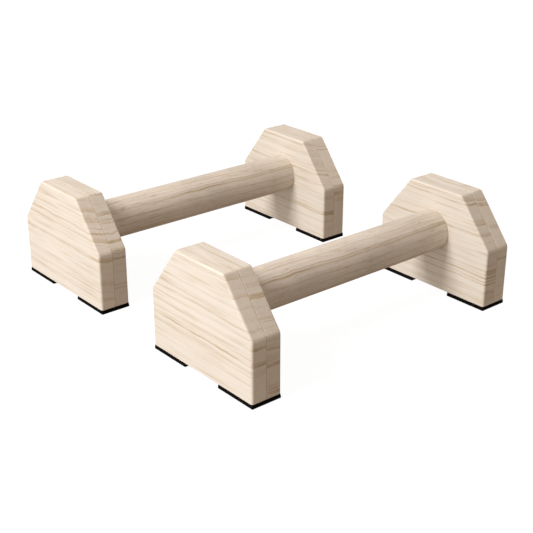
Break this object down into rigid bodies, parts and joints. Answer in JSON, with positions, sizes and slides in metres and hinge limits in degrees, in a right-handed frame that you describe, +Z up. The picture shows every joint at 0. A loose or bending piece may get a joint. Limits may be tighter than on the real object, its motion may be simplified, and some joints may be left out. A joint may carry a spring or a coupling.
{
  "type": "parallette bars",
  "caption": "Low wooden push-up and handstand bars: a round grip rail let into bevelled end blocks of glued boards, standing on black rubber pads.",
  "frame": {"origin": "on the floor, midway between the bars and midway along them", "axes": "+Z up, X along the grip rails with the front ends at -X, +Y from the right bar to the left bar"},
  "size_m": [0.33, 0.382, 0.1125],
  "materials": {
    "outer_board_wood": "sanded, matt clear finish",
    "inner_board_wood": "sanded, matt clear finish",
    "grip_wood": "sanded smooth, matt clear finish",
    "foot_rubber": "matt black",
    "screw_steel": "zinc plated"
  },
  "bodies": {
    "right_bar": {"right_grip_bar": "grip_wood", "right_front_outer_board": "outer_board_wood", "right_front_inner_board": "inner_board_wood", "right_front_tie_screw": "screw_steel", "right_front_inside_foot": "foot_rubber", "right_front_outside_foot": "foot_rubber", "right_rear_outer_board": "outer_board_wood", "right_rear_inner_board": "inner_board_wood", "right_rear_tie_screw": "screw_steel", "right_rear_inside_foot": "foot_rubber", "right_rear_outside_foot": "foot_rubber"},
    "left_bar": {"left_grip_bar": "grip_wood", "left_front_outer_board": "outer_board_wood", "left_front_inner_board": "inner_board_wood", "left_front_tie_screw": "screw_steel", "left_front_inside_foot": "foot_rubber", "left_front_outside_foot": "foot_rubber", "left_rear_outer_board": "outer_board_wood", "left_rear_inner_board": "inner_board_wood", "left_rear_tie_screw": "screw_steel", "left_rear_inside_foot": "foot_rubber", "left_rear_outside_foot": "foot_rubber"}
  },
  "joints": [
    {"name": "bar_spacing", "type": "slide", "parent": "right_bar", "child": "left_bar", "axis": [0, 1, 0], "range_m": [-0.09, 0.36]}
  ]
}
